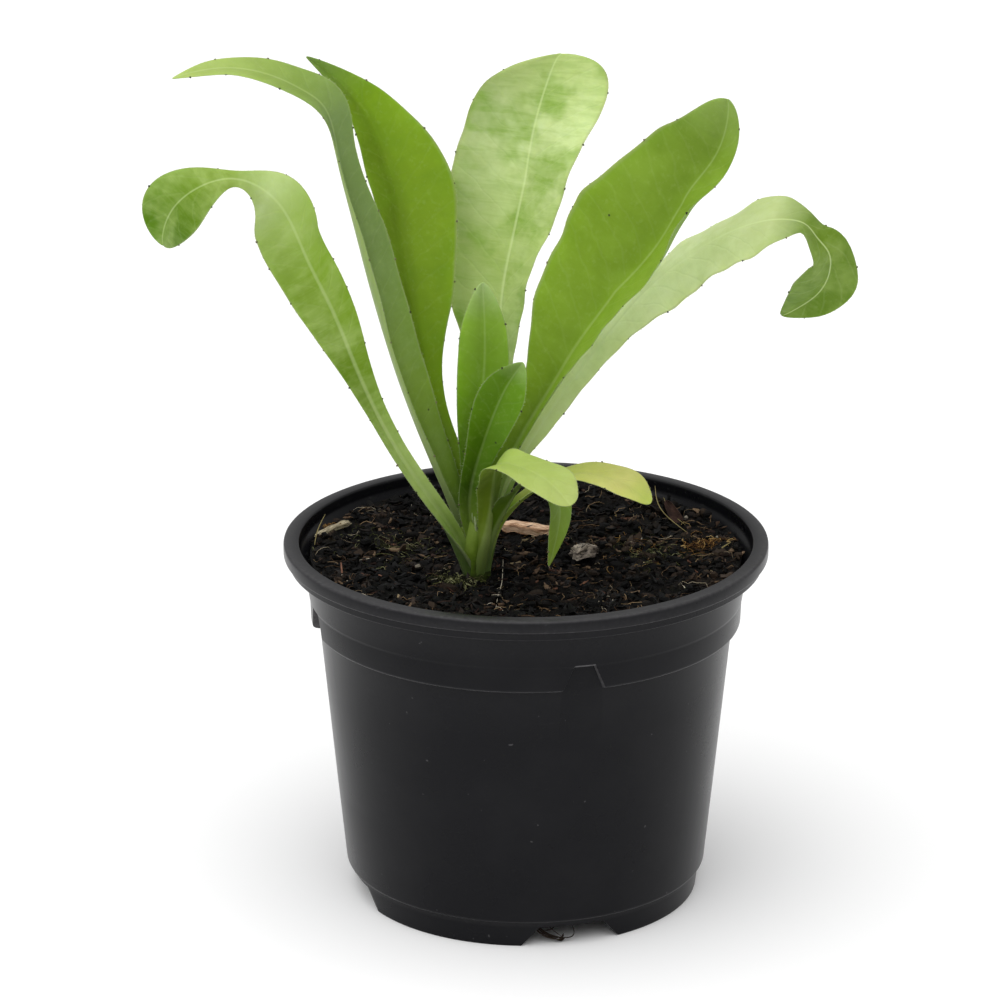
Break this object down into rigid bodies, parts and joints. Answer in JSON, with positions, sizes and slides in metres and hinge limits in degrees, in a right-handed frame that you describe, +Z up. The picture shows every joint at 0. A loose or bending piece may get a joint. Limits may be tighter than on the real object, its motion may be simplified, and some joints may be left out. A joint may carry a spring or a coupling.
{
  "type": "potted marigold",
  "caption": "Young marigold plant with long spoon-shaped leaves, rooted in peaty soil in a round notched nursery pot.",
  "frame": {"origin": "middle of the whole footprint, on the surface that the pot stands on", "axes": "+Z up along the pot's axis, -Y towards the side seen first, +X to its right"},
  "size_m": [0.1812, 0.13, 0.2355],
  "materials": {
    "pot": "satin charcoal, a little dusty at the rim",
    "soil": "moist fibrous peat",
    "stem": "fresh, matt, finely hairy",
    "leaf": "fresh green, soft sheen, finely hairy",
    "leaf_young": "deep green, soft sheen, finely hairy",
    "leaf_pale": "yellowish green, soft sheen",
    "wood": "dry splintered wood",
    "bark": "weathered bark",
    "root": "dark thin root"
  },
  "bodies": {
    "root": {"pot": "pot", "soil": "soil", "crown": "stem", "leaf_left_low": "leaf", "leaf_left_high": "leaf", "leaf_back_left": "leaf", "leaf_back": "leaf", "leaf_right_high": "leaf", "leaf_right_low": "leaf", "leaf_centre_tall": "leaf_young", "leaf_centre_short": "leaf_young", "leaf_front_bright": "leaf_pale", "leaf_front_hanging": "leaf", "leaf_right_yellow": "leaf_pale", "wood_chip_tan": "wood", "wood_chip_pale": "wood", "bark_piece": "bark", "drain_root": "root"}
  },
  "joints": []
}
